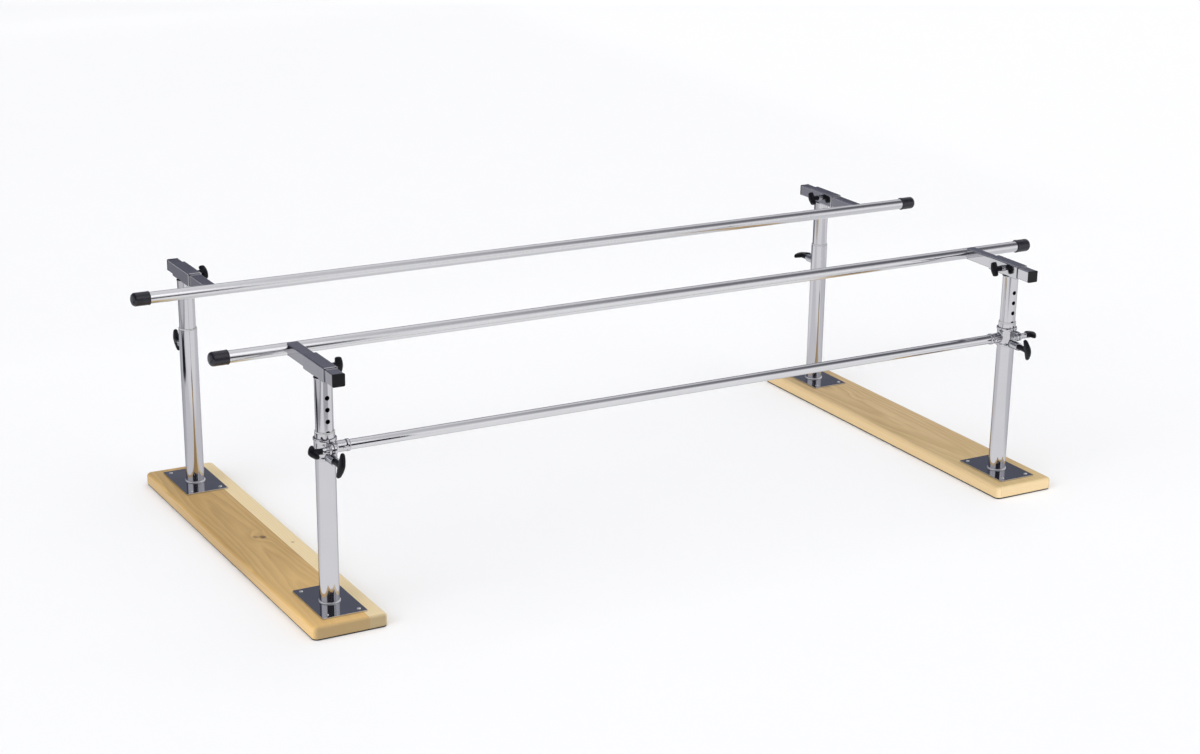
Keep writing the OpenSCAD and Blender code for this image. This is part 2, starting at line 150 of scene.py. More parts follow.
BOLT_R, BOLT_HEAD_R, BOLT_HEAD_H = 0.003, 0.0055, 0.004
BOLT_X = (COLLAR_R + COLLAR_HIGH.x) / 2
# The eased edge of a rim, the gap between two pieces that fit together, and the ripple of a small weld bead
EASE, FIT, RIPPLE = 0.0004, 0.00005, 0.12

# Handles: the hub's radius, the bar's greatest and least width, its thickness in the middle and at its ends,
# its span, and the hub's length
HUB_R = 0.010
BAR_W, BAR_END_W = 0.0195, 0.012
BAR_MID, BAR_TIP = 0.026, 0.009
CLAMP_MID, CLAMP_TIP = 0.024, 0.019
PULL_SPAN, CLAMP_SPAN, COLLAR_SPAN = 0.077, 0.050, 0.057
CLAMP_HUB, COLLAR_HUB = 0.015, 0.022
# Where the hubs of the clamp handles begin on their screws' axes, and how deep the studs go into them
CLAMP_SEAT = CLAMP_HIGH.x - CLAMP_MID - CLAMP_HUB
COLLAR_SEAT = -COLLAR_KNOB_LOW.x - BAR_MID - COLLAR_HUB
STUD_DEPTH = 0.009


# Mesh tools
class Shape:
    """Vertices and faces gathered from several forms."""

    def __init__(self):
        self.points, self.faces = [], []

    def add(self, form, m=Matrix.Identity(4)):
        points, faces = form
        start = len(self.points)
        turn = -1 if m.determinant() < 0 else 1
        self.points += [m @ Vector(p) for p in points]
        self.faces += [[start + i for i in face][::turn] for face in faces]
        return self

    def mesh(self, name="form"):
        me = bpy.data.meshes.new(name)
        me.from_pydata([tuple(p) for p in self.points], [], self.faces)
        me.validate()
        me.update()
        return me


def place(name, me):
    """Puts a mesh in the scene as an object."""
    o = bpy.data.objects.new(name, me)
    bpy.context.scene.collection.objects.link(o)
    return o


def evaluated(o):
    """The mesh of an object with its modifiers applied. The object is removed."""
    bpy.context.view_layer.update()
    me = bpy.data.meshes.new_from_object(o.evaluated_get(bpy.context.evaluated_depsgraph_get()))
    bpy.data.objects.remove(o)
    return me


def softened(me, sharp):
    """Smooth shading between sharp edges, in which broad flat faces stay flat beside their eased edges."""
    me.polygons.foreach_set("use_smooth", [True] * len(me.polygons))
    me.set_sharp_from_angle(angle=radians(sharp))
    o = place("soften", me)
    mod = o.modifiers.new("weight", "WEIGHTED_NORMAL")
    mod.keep_sharp = True
    return evaluated(o)


def put(name, me, mats, body, nodes=(), sharp=35):
    """Makes a piece of a mesh, riding on a body and standing for its CAD nodes. Sharp is the least angle of
    an edge that stays sharp, in degrees, and 0 leaves the mesh's shading alone."""
    if sharp:
        me = softened(me, sharp)
    me.name = name
    o = place(name, me)
    for mat in mats if isinstance(mats, tuple) else (mats,):
        me.materials.append(mat)
    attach(o, body)
    if nodes:
        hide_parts(*nodes)
    return o


def skin(rings, ends="cap"):
    """Faces between closed rings of points. The ends are capped, left open or joined to each other."""
    n = len(rings[0])
    count = len(rings)
    points = [p for ring in rings for p in ring]
    faces = []
    for i in range(count if ends == "join" else count - 1):
        a, b = i * n, (i + 1) % count * n
        faces += [(a + j, a + (j + 1) % n, b + (j + 1) % n, b + j) for j in range(n)]
    if ends == "cap":
        faces += [tuple(range(n))[::-1], tuple(range((count - 1) * n, count * n))]
    return points, faces


def turned_in(form):
    """The same form with its faces turned over."""
    points, faces = form
    return points, [face[::-1] for face in faces]


def block(low, high):
    """A plain box between two corners, for cutting and for forms that are blended."""
    (x0, y0, z0), (x1, y1, z1) = low, high
    return skin([[(x0, y0, z), (x1, y0, z), (x1, y1, z), (x0, y1, z)] for z in (z0, z1)])


def as_form(me):
    """Points and faces of a mesh."""
    return [tuple(v.co) for v in me.vertices], [tuple(p.vertices) for p in me.polygons]


def full_turn(n):
    """Angles of n even steps round a circle."""
    return [2 * pi * i / n for i in range(n)]


def quarter_turn(n):
    """Angles from nothing to a right angle in n even steps."""
    return [pi / 2 * i / n for i in range(n + 1)]


def circle(r, z, n):
    return [(r * cos(a), r * sin(a), z) for a in full_turn(n)]


def lathe(profile, n=96, ends="cap"):
    """Turns a profile of (radius, height) about Z, with outside walls running upwards."""
    return skin([circle(r, z, n) for r, z in profile], ends)


def tube_profile(bore, r, z0, z1, e=EASE):
    """Closed profile of a tube with eased rims: up the outside and down the bore."""
    return [
        (r - e, z0), (r, z0 + e), (r, z1 - e), (r - e, z1),
        (bore + e, z1), (bore, z1 - e), (bore, z0 + e), (bore + e, z0),
    ]


def rod(r, z0, z1, n=48):
    return lathe([(r, z0), (r, z1)], n)


def arc(cx, cy, r, start, end, steps):
    """Points of an arc between two angles in degrees."""
    angles = [radians(start + (end - start) * i / steps) for i in range(steps + 1)]
    return [(cx + r * cos(a), cy + r * sin(a)) for a in angles]


def rounded(x, y, r, steps=6):
    """Counter-clockwise outline of a rectangle of half sizes x and y with round corners."""
    out = []
    for cx, cy, start in ((x - r, y - r, 0), (r - x, y - r, 90), (r - x, r - y, 180), (x - r, r - y, 270)):
        out += arc(cx, cy, r, start, start + 90, steps)
    return out


def slab(x, y, z0, z1, corner, edge, foot=0.0, steps=6, edge_steps=5):
    """A flat block with round corners, a round top edge and, where foot is given, an eased foot."""
    def level(inset, z):
        r = max(corner - inset, edge * 0.15)
        return [(a, b, z) for a, b in rounded(x - inset, y - inset, r, steps)]

    rings = [level(0, z0)]
    if foot:
        rings = [level(foot * (1 - sin(t)), z0 + foot * (1 - cos(t))) for t in quarter_turn(2)]
    for t in quarter_turn(edge_steps):
        rings.append(level(edge * (1 - cos(t)), z1 - edge + edge * sin(t)))
    return skin(rings)


def square_ring(half, corner, y, steps=5):
    """Outline of a square tube at one place along Y."""
    return [(a, y, b) for a, b in rounded(half, half, corner, steps)]


def sweep(path, r, n=10, closed=False, wave=0.0):
    """A round wire or bead along a path, with an even ripple where wave is given."""
    ripple_step = 2.1
    path = [Vector(p) for p in path]
    count = len(path)
    rings = []
    up = None
    for i, p in enumerate(path):
        before = path[(i - 1) % count] if closed or i else p
        after = path[(i + 1) % count] if closed or i < count - 1 else p
        along = (after - before).normalized()
        up = along.orthogonal() if up is None else up - along * up.dot(along)
        up.normalize()
        side = along.cross(up)
        size = r * (1 + wave * sin(i * ripple_step))
        rings.append([p + size * (cos(a) * up + sin(a) * side) for a in full_turn(n)])
    if not closed:
        return skin(rings)
    points, faces = skin(rings, "open")
    last = (count - 1) * n
    shift = min(range(n), key=lambda j: (rings[-1][j] - rings[0][0]).length)
    faces += [(last + (j + shift) % n, last + (j + shift + 1) % n, (j + 1) % n, j) for j in range(n)]
    return points, faces


# Turns a form that stands on +Z so that it points another way
LAY = {
    "x": Matrix.Rotation(pi / 2, 4, "Y"),
    "-x": Matrix.Rotation(-pi / 2, 4, "Y"),
    "y": Matrix.Rotation(-pi / 2, 4, "X"),
    "-y": Matrix.Rotation(pi / 2, 4, "X"),
}


def at(x=0.0, y=0.0, z=0.0):
    return Matrix.Translation((x, y, z))


def cut(me, cutters):
    """Subtracts each cutter, a form with its place, from a mesh."""
    o = place("cut_base", me)
    tools = []
    for form, m in cutters:
        tools.append(place("cutter", Shape().add(form, m).mesh()))
        mod = o.modifiers.new("cut", "BOOLEAN")
        mod.operation = "DIFFERENCE"
        mod.solver = "EXACT"
        mod.object = tools[-1]
    me = evaluated(o)
    for tool in tools:
        bpy.data.objects.remove(tool)
    return me


def blended(me, voxel, rounds):
    """Fuses overlapping forms into one skin with soft joins, as in a moulded or cast piece."""
    o = place("blend", me)
    remesh = o.modifiers.new("skin", "REMESH")
    remesh.mode = "VOXEL"
    remesh.voxel_size = voxel
    smooth = o.modifiers.new("soft", "SMOOTH")
    smooth.factor = 0.5
    smooth.iterations = rounds
    return evaluated(o)


def moved(me, m):
    """A copy of a mesh moved by a matrix, with its faces still outward where the matrix mirrors."""
    out = me.copy()
    out.transform(m)
    if m.determinant() < 0:
        out.flip_normals()
    return out


def true_cylinder(me):
    """Gives the walls of a drilled tube about Z the normals of a true cylinder, and gives its bore and the
    walls of
    its holes the second material: steel painted nearly black, the painted shade inside them."""
    straight = 0.99
    me.set_sharp_from_angle(angle=radians(30))
    me.polygons.foreach_set("use_smooth", [True] * len(me.polygons))
    normals = [Vector(c.vector) for c in me.corner_normals]
    for p in me.polygons:
        out = Vector((p.center.x, p.center.y, 0)).normalized().dot(p.normal)
        if out < straight and abs(p.normal.z) < straight:
            p.material_index = 1
        if abs(out) > straight:
            for corner in p.loop_indices:
                co = me.vertices[me.loops[corner].vertex_index].co
                normals[corner] = Vector((co.x, co.y, 0)).normalized() * (1 if out > 0 else -1)
    me.normals_split_custom_set(normals)
    return me


# Materials
class Nodes:
    """Short ways to add nodes to a node tree."""

    def __init__(self, tree):
        self.tree = tree
        tree.nodes.clear()

    def node(self, kind, inputs=None, **props):
        """A new node with its properties set and its inputs fed."""
        node = self.tree.nodes.new(kind)
        for key, value in props.items():
            setattr(node, key, value)
        for key, value in (inputs or {}).items():
            self.feed(node.inputs[key], value)
        return node

    def feed(self, socket, value):
        if hasattr(value, "is_output"):
            self.tree.links.new(value, socket)
        elif isinstance(value, tuple) and len(value) == 3 and socket.type == "RGBA":
            socket.default_value = (*value, 1)
        else:
            socket.default_value = value

    def math(self, op, a, b=0.0):
        return self.node("ShaderNodeMath", {0: a, 1: b}, operation=op).outputs[0]

    def times(self, a, b):
        return self.math("MULTIPLY", a, b)

    def minus(self, a, b):
        return self.math("SUBTRACT", a, b)

    def blend(self, parts):
        """Sum of (value, weight) pairs."""
        total = 0.0
        for value, weight in parts:
            total = self.math("ADD", total, self.times(value, weight))
        return total

    def length(self, a, b):
        """Length of a flat vector with the parts a and b."""
        squares = [(self.math("POWER", part, 2.0), 1.0) for part in (a, b)]
        return self.math("SQRT", self.blend(squares))

    def span(self, value, a, b, low, high, kind="LINEAR"):
        """Goes from low to high while the value goes from a to b."""
        inputs = {"Value": value, "From Min": a, "From Max": b, "To Min": low, "To Max": high}
        return self.node("ShaderNodeMapRange", inputs, clamp=True, interpolation_type=kind).outputs[0]

    def soft(self, value, a, b, low=0.0, high=1.0):
        return self.span(value, a, b, low, high, "SMOOTHSTEP")

    def band(self, value, a, b, c, d):
        """Rises from 0 to 1 between a and b, and falls back between c and d."""
        return self.times(self.soft(value, a, b), self.soft(value, c, d, 1.0, 0.0))

    def mix(self, factor, a, b):
        return self.node("ShaderNodeMix", {0: factor, 6: a, 7: b}, data_type="RGBA").outputs[2]

    def cover(self, color, layers):
        """Lays colours over each other, each with its share."""
        for share, tone in layers:
            color = self.mix(share, color, tone)
        return color

    def axes(self, vector):
        return list(self.node("ShaderNodeSeparateXYZ", {0: vector}).outputs)


class Mat(Nodes):
    """A material with one Principled shader."""

    def __init__(self, name):
        self.material = bpy.data.materials.new(name)
        self.material.use_nodes = True
        super().__init__(self.material.node_tree)
        self.shader = self.node("ShaderNodeBsdfPrincipled")
        self.node("ShaderNodeOutputMaterial", {0: self.shader.outputs[0]})
        self.place = self.node("ShaderNodeTexCoord").outputs["Object"]

    def scaled(self, x, y, z):
        return self.node("ShaderNodeMapping", {"Vector": self.place, "Scale": (x, y, z)}).outputs[0]

    def noise(self, vector, scale, detail=3.0, rough=0.5):
        inputs = {"Vector": vector, "Scale": scale, "Detail": detail, "Roughness": rough}
        return self.node("ShaderNodeTexNoise", inputs).outputs["Fac"]

    def bump(self, height, strength, distance):
        inputs = {"Strength": strength, "Distance": distance, "Height": height}
        self.feed(self.shader.inputs["Normal"], self.node("ShaderNodeBump", inputs).outputs[0])

    def finish(self, **looks):
        for key, value in looks.items():
            self.feed(self.shader.inputs[key.replace("_", " ")], value)
        return self.material


def metal(name, color, rough_low, rough_high, smudge=6.0, peel=0.0, edge=(0.6, 0.6, 0.62)):
    """Bright metal with faint smudges in its gloss, so many to a metre, and where peel is given a slight
    unevenness of its plating. Edge tints what it reflects at a glancing angle."""
    m = Mat(name)
    broad = m.noise(m.place, smudge, 4.0, 0.55)
    fine = m.noise(m.place, smudge * 40, 2.0)
    both = m.blend(((broad, 0.75), (fine, 0.25)))
    dull = tuple(c * 0.96 for c in color)
    if peel:
        m.bump(m.noise(m.place, 420.0, 2.0), peel, 0.0002)
    return m.finish(
        Base_Color=m.mix(m.span(both, 0.35, 0.65, 0, 1), dull, color),
        Metallic=1.0,
        Specular_Tint=edge,
        Roughness=m.span(both, 0.35, 0.7, rough_low, rough_high),
    )


def satin_rail():
    """Polished tube with the fine rings of its polishing wheel round it."""
    m = Mat("satin_polished_rail")
    rings = m.noise(m.scaled(900.0, 25.0, 25.0), 1.0, 3.0, 0.6)
    broad = m.noise(m.scaled(3.0, 12.0, 12.0), 1.0)
    m.bump(rings, 0.12, 0.00006)
    return m.finish(
        Base_Color=m.mix(m.span(rings, 0.3, 0.7, 0, 1), (0.66, 0.66, 0.68), (0.71, 0.71, 0.725)),
        Metallic=1.0,
        Roughness=m.span(m.blend(((rings, 0.5), (broad, 0.5))), 0.3, 0.7, 0.10, 0.19),
    )


def plastic(name, color, scuffed, rough, grain_scale, grain, specular=0.5):
    """Moulding or rubber with a fine grain and faint scuffs."""
    m = Mat(name)
    scuff = m.noise(m.place, 60.0, 5.0, 0.65)
    m.bump(m.noise(m.place, grain_scale, 2.0, 0.6), grain, 0.00012)
    return m.finish(
        Base_Color=m.mix(m.span(scuff, 0.5, 0.75, 0, 1), color, scuffed),
        Roughness=m.span(scuff, 0.3, 0.7, rough - 0.05, rough + 0.08),
        Specular_IOR_Level=specular,
    )


def knots_in(m, x, y, knots):
    """How dark the knots make the wood, and how far they push the growth rings aside."""
    dark, push = 0.0, 0.0
    for knot_x, knot_y, size, strength in knots:
        dx = m.minus(x, knot_x)
        dy = m.times(m.minus(y, knot_y), 0.8)
        ragged = m.minus(m.noise(m.place, 90.0, 2.0), 0.5)
        away = m.blend(((m.length(dx, dy), 1.0), (ragged, size * 0.9)))
        dark = m.math("MAXIMUM", dark, m.span(away, size * 0.35, size, strength, 0))
        push = m.math("ADD", push, m.span(away, 0, 0.05, 0.006, 0))
    return dark, push


def growth_rings(m, x, y, z, beyond, pith, push):
    """The dark late wood of each ring. The pith lies under the board and drifts along it, which draws long
    arches on the top face. The strip beyond the glue line has rings of its own: a paler stave on the left
    board, and on the right board a strip that also carries a painted highlight."""
    pith_x, pith_depth, pith_drift = pith
    sway = m.minus(m.noise(m.scaled(4.0, 0.9, 4.0), 1.0, 2.0), 0.5)
    wobble = m.minus(m.noise(m.scaled(26.0, 2.2, 26.0), 1.0, 3.0, 0.55), 0.5)
    across = m.blend(((m.minus(x, pith_x), 1.0), (beyond, 0.13), (sway, 0.09)))
    depth = m.blend(((m.math("ADD", z, pith_depth), 1.0), (y, pith_drift), (wobble, 0.016)))
    radius = m.math("ADD", m.length(across, depth), push)
    ring = m.math("FRACT", m.times(radius, RINGS_PER_METRE))
    return m.times(m.span(ring, 0.0, 0.8, 0, 1), m.span(ring, 0.82, 1.0, 1, 0))


def wood(side, inboard, glue, pith, clouds, knots, **tones):
    """Lacquered board of two staves with the fibres along Y. Its glue line, pith and knots are placed from
    the board's middle line. On the left board the pale tone beyond the glue line is a paler stave and the
    end tone is darker end grain. On the right board the pale tone is a painted highlight on the lit long
    edge and side face, and the end tone is painted light on the end faces."""
    m = Mat("lacquered_board_" + side)
    x, y, z = m.axes(m.place)
    middle, board_end = mid(side + "_board").x, half_size(side + "_board").y
    glue_x = middle + inboard * glue
    beyond = m.math("GREATER_THAN", m.times(x, inboard), glue_x * inboard)
    dark, push = knots_in(m, x, y, [(middle + knot[0], *knot[1:]) for knot in knots])
    late = growth_rings(m, x, y, z, beyond, (middle + pith[0], *pith[1:]), push)
    fibre = m.noise(m.scaled(520.0, 9.0, 520.0), 1.0, 3.0, 0.6)
    pores = m.noise(m.scaled(1300.0, 30.0, 1300.0), 1.0, 1.0)
    cloud = m.noise(m.scaled(9.0, clouds, 9.0), 1.0, 3.0, 0.55)
    grain = m.blend((
        (late, 0.38), (m.span(fibre, 0.3, 0.7, 0, 1), 0.20), (m.span(pores, 0.62, 0.8, 0, 1), 0.08),
    ))
    near = m.times(m.span(y, -0.15, -0.70, 0, 0.6), m.minus(1.0, beyond))
    seam = m.math("ABSOLUTE", m.minus(x, glue_x))
    # End faces: darker end grain on the left board, painted light on the right board. The pale tone beyond
    # the glue line is a paler stave on the left board and a painted highlight on the right board's lit long
    # edge and side face.
    cross_cut = m.span(m.math("ABSOLUTE", y), board_end - BOARD_EDGE, board_end - 0.001, 0, 0.8)
    color = m.cover(tones["main"], (
        (m.span(cloud, 0.36, 0.64, 0, 1), tones["cloudy"]),
        (beyond, tones["pale"]),
        (m.times(grain, m.span(beyond, 0, 1, 1.0, 0.35)), GRAIN_COLOR),
        (near, tones["near"]),
        (dark, KNOT_COLOR),
        (cross_cut, tones["cross_cut"]),
        (m.span(seam, 0.0, GLUE_LINE, 0.4, 0), GRAIN_COLOR),
    ))
    m.bump(m.blend(((fibre, 0.7), (late, 0.3))), 0.22, 0.00025)
    return m.finish(
        Base_Color=color,
        Roughness=m.span(fibre, 0.3, 0.7, 0.38, 0.5),
        Coat_Weight=0.12,
        Coat_Roughness=0.25,
    )


CHROME = metal("bright_chrome_tube", (0.62, 0.615, 0.645), 0.05, 0.11)
BRACE = metal("bright_chrome_brace", (0.70, 0.70, 0.72), 0.06, 0.12)
FITTING = metal("chrome_plated_fitting", (0.60, 0.60, 0.63), 0.07, 0.16, smudge=14.0, peel=0.06)
PLATE = metal("polished_chrome_plate", (0.62, 0.62, 0.65), 0.03, 0.09, smudge=9.0)
ZINC = metal("bright_zinc_fastener", (0.74, 0.745, 0.75), 0.16, 0.28, smudge=30.0, peel=0.1)
PIN = metal("ground_steel_pin", (0.62, 0.63, 0.65), 0.14, 0.26, smudge=25.0)
SPRING = metal("drawn_spring_wire", (0.42, 0.43, 0.45), 0.22, 0.36, smudge=25.0)
SCREW = metal("bright_domed_screw", (0.96, 0.96, 0.97), 0.36, 0.48, smudge=30.0, edge=(0.9, 0.9, 0.9))
WELD = metal("satin_weld_bead", (0.84, 0.84, 0.85), 0.26, 0.38, smudge=30.0, edge=(0.8, 0.8, 0.8))
RAIL = satin_rail()
# Steel painted nearly black for bores and hole walls: painted shade inside them
BORE_SHADE = plastic(
    "bore_painted_shade", (0.012, 0.011, 0.011), (0.022, 0.019, 0.017),
    rough=0.6, grain_scale=700.0, grain=0.3, specular=0.15,
)
HANDLE = plastic(
    "satin_black_handle", (0.0018, 0.0018, 0.0040), (0.0040, 0.0040, 0.0075),
    rough=0.34, grain_scale=2200.0, grain=0.22, specular=0.26,
)
PLUG = plastic(
    "textured_black_plug", (0.0020, 0.0020, 0.0034), (0.0045, 0.0045, 0.0065),
    rough=0.38, grain_scale=1600.0, grain=0.3, specular=0.3,
)
CAP = plastic(
    "satin_black_rubber", (0.0055, 0.0057, 0.0115), (0.0100, 0.0105, 0.0175),
    rough=0.26, grain_scale=1200.0, grain=0.18, specular=0.58,
)
RUBBER = plastic(
    "matte_rubber_mat", (0.022, 0.021, 0.021), (0.035, 0.033, 0.032),
    rough=0.72, grain_scale=900.0, grain=0.6, specular=0.3,
)
NYLON = plastic(
    "natural_nylon_bush", (0.52, 0.52, 0.50), (0.58, 0.58, 0.56),
    rough=0.4, grain_scale=1500.0, grain=0.15,
)

RINGS_PER_METRE, GLUE_LINE = 120.0, 0.0009
GRAIN_COLOR = (0.34, 0.185, 0.055)
KNOT_COLOR = (0.10, 0.045, 0.012)
# A pith's place along X, its depth under the floor and its rise along Y. A knot's place along X and Y, its
# radius and how dark it is.
WOOD = {
    "left": wood(
        "left", 1, glue=0.058, pith=(-0.025, 0.10, 0.022), clouds=1.6,
        knots=((-0.0065, 0.009, 0.012, 0.55), (0.0145, -0.002, 0.013, 0.95), (0.082, -0.085, 0.007, 0.5)),
        main=(0.56, 0.355, 0.122), cloudy=(0.64, 0.42, 0.155), pale=(0.90, 0.72, 0.41),
        near=(0.90, 0.565, 0.20), cross_cut=(0.30, 0.21, 0.096),
    ),
    # On the right board, pale is a painted highlight on the lit long edge and side face, and the end tone is
    # painted light on its end faces
    "right": wood(
        "right", -1, glue=0.102, pith=(-0.025, 0.14, -0.018), clouds=2.3,
        knots=((0.032, 0.31, 0.006, 0.35),),
        main=(0.62, 0.435, 0.195), cloudy=(0.71, 0.51, 0.25), pale=(0.72, 0.52, 0.26),
        near=(0.70, 0.50, 0.21), cross_cut=(0.88, 0.67, 0.38),
    ),
}


# Boards, mats and plates
def stand_in(node, me, mats, body, sharp=35):
    """Puts a detailed piece in the place of its CAD node."""
    return put(node + "_detail", me, mats, body, [node], sharp)


def slab_piece(node, material, slot, sharp, *edges, **steps):
    """A slab that fills the box of its CAD node."""
    middle, half = mid(node), half_size(node)
    form = slab(half.x, half.y, -half.z, half.z, *edges, **steps)
    stand_in(node, Shape().add(form, at(*middle)).mesh(), material, "base", sharp)


def board(side):
    slab_piece(side + "_board", WOOD[side], "maple_board", 40, BOARD_CORNER, BOARD_EDGE, BOARD_FOOT,
               steps=10, edge_steps=8)


def mat(side):
    slab_piece(side + "_mat", RUBBER, "rubber_mat", 35, 0.016, 0.0006, 0.0004, steps=8, edge_steps=2)


def foot_plate(post):
    slab_piece(post + "_plate", PLATE, "polished_plate", 60, 0.0022, 0.0007, steps=4, edge_steps=3)


def plate_screws():
    """Low domed heads with a cross recess, one at each corner of each plate."""
    edge, slot_len, slot_w, slot_depth = 0.0006, 0.006, 0.0012, 0.0014
    dome = [(SCREW_R - 0.0002, 0), (SCREW_R, 0.0002), (SCREW_R, edge)]
    for t in quarter_turn(8)[1:]:
        dome.append((max(SCREW_R * cos(t), 0.0002), edge + (SCREW_H - edge) * sin(t)))
    slot = block(
        (-slot_len / 2, -slot_w / 2, SCREW_H - slot_depth),
        (slot_len / 2, slot_w / 2, SCREW_H + 0.001),
    )
    head = Shape().add(lathe(dome, 40)).mesh()
    head = cut(head, [(slot, Matrix.Rotation(radians(a), 4, "Z")) for a in (45, 135)])
    heads = Shape()
    half = half_size("near_left_plate")
    for post in POSTS:
        for i, (sx, sy) in enumerate(((-1, -1), (1, -1), (1, 1), (-1, 1))):
            spot = at(sx * (half.x - SCREW_INSET), sy * (half.y - SCREW_INSET), PLATE_TOP)
            heads.add(as_form(head), post_matrix(post) @ spot @ Matrix.Rotation(radians(37 * i), 4, "Z"))
    stand_in("plate_screws", heads.mesh(), SCREW, "base", 30)


# Posts
def bead_ring(r, z, size, n=160):
    """A weld bead round a tube, with a quarter-round section and the even ripples of the weld."""
    ripple, ripples, rise = 0.0005, 44, 1.45
    rings = []
    for a in full_turn(n):
        k = size + ripple * sin(a * ripples)
        section = [(r + k * cos(t), z + rise * k * sin(t)) for t in quarter_turn(8)]
        section += [(r - ripple, z + rise * k), (r - ripple, z)]
        rings.append([(b * cos(a), b * sin(a), h) for b, h in section])
    return turned_in(skin(rings, "join"))


def drilled(bore, r, z0, z1, heights, hole_r):
    """A tube about Z with round holes in its +Y wall."""
    tube = Shape().add(lathe(tube_profile(bore, r, z0, z1), 128, "join")).mesh()
    return true_cylinder(cut(tube, [(rod(hole_r, 0.01, 0.06), at(z=z) @ LAY["y"]) for z in heights]))


def outer_tube(post):
    me = drilled(OUTER_R - OUTER_WALL, OUTER_R, PLATE_TOP, OUTER_TOP, [PIN_Z], PIN_R + 2 * FIT)
    stand_in(post + "_outer_tube", moved(me, post_matrix(post)), (CHROME, BORE_SHADE), "base", 0)
    weld = Shape().add(bead_ring(OUTER_R - 0.0002, PLATE_TOP, 0.003), post_matrix(post))
    put(post + "_foot_weld", weld.mesh(), WELD, "base", sharp=60)


def inner_tube(post):
    heights = [PIN_Z + k * HOLE_PITCH for k in range(-HOLES_BELOW, HOLES_ABOVE + 1)]
    me = moved(drilled(INNER_R - INNER_WALL, INNER_R, INNER_LOW.z, INNER_HIGH.z, heights, HOLE_R),
               post_matrix(post))
    stand_in(post + "_inner_tube", me, (CHROME, BORE_SHADE), shared(post, "lift"), 0)


def guide_bushes():
    """Nylon bush in the mouth of each outer tube, with a flange on its rim."""
    foot, top = (corner.z for corner in own_box("guide_bushes"))
    bore, skirt, flange = INNER_R + FIT, OUTER_R - OUTER_WALL - FIT, OUTER_R
    profile = [
        (bore, foot), (skirt, foot), (skirt, OUTER_TOP), (flange - EASE, OUTER_TOP),
        (flange, OUTER_TOP + EASE), (flange, top - EASE), (flange - EASE, top),
        (bore + EASE, top), (bore, top - EASE),
    ]
    bushes = Shape()
    for post in POSTS:
        bushes.add(lathe(profile, 96, "join"), post_matrix(post))
    stand_in("guide_bushes", bushes.mesh(), NYLON, "base")


# Pull pins
def saddle(r, tube, n=64):
    """Where a cylinder of radius r along Y meets the outer tube."""
    return [(a, sqrt(tube ** 2 - a ** 2), b) for a, b, _ in circle(r, 0, n)]


def pin_housing(post):
    """Housing with its foot cut to the tube, a blind bore and a guide hole in its end."""
    tip, guide = HOUSING_HIGH.y, PIN_R + FIT
    profile = [
        (HOUSING_R, tip - 0.0014), (HOUSING_R - 0.0004, tip - 0.0004), (HOUSING_R - 0.0014, tip),
        (guide + 0.0006, tip), (guide, tip - 0.0006), (guide, tip - HOUSING_END),
        (HOUSING_BORE, tip - HOUSING_END),
    ]
    rings = [saddle(HOUSING_R, OUTER_R)]
    rings += [[(a, y, b) for a, b, _ in circle(r, 0, 64)] for r, y in profile]
    rings.append(saddle(HOUSING_BORE, OUTER_R))
    spot = post_matrix(post) @ at(z=PIN_Z)
    shell = Shape().add(turned_in(skin(rings, "join")), spot)
    stand_in(post + "_pin_housing", shell.mesh(), FITTING, "base")
    bead = sweep(saddle(HOUSING_R + 0.0003, OUTER_R + 0.0003, 72), 0.0012, 8, True, RIPPLE)
    put(post + "_housing_weld", Shape().add(bead, spot).mesh(), FITTING, "base", sharp=60)


def pull_pin(post):
    """Pin with a rounded nose and the shoulder that its spring pushes on."""
    nose, foot = PIN_LOW.y, SPRING_LOW.y - SHOULDER_T - 2 * FIT
    rim = PIN_SHOULDER_R - EASE
    profile = [
        (0.0002, nose), (PIN_R - 0.002, nose), (PIN_R, nose + 0.002), (PIN_R, foot), (rim, foot),
        (PIN_SHOULDER_R, foot + EASE), (PIN_SHOULDER_R, foot + SHOULDER_T - EASE), (rim, foot + SHOULDER_T),
        (PIN_R, foot + SHOULDER_T), (PIN_R, PIN_HIGH.y),
    ]
    shape = Shape().add(lathe(profile, 48), post_matrix(post) @ at(z=PIN_Z) @ LAY["y"])
    stand_in(post + "_pull_pin", shape.mesh(), PIN, post + "_pin")


def pin_spring(post):
    """Compression spring with a closed turn at each end, drawn at its resting length; nothing here shortens
    it as its pin is pulled.
    """
    steps, wire_r = 150, SPRING_WIRE_R
    mean_r = (SPRING_HIGH.x - SPRING_LOW.x) / 2 - wire_r
    start, reach = SPRING_LOW.y + wire_r, SPRING_HIGH.y - SPRING_LOW.y - 2 * wire_r
    path = []
    for i in range(steps + 1):
        turn = (SPRING_TURNS + 2) * i / steps
        rise = min(max((turn - 1) / SPRING_TURNS, 0), 1)
        path.append((mean_r * cos(2 * pi * turn), start + rise * reach, mean_r * sin(2 * pi * turn)))
    shape = Shape().add(sweep(path, wire_r, 8), post_matrix(post) @ at(z=PIN_Z))
    o = stand_in(post + "_pin_spring", shape.mesh(), SPRING, "base", 60)
    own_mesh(o)


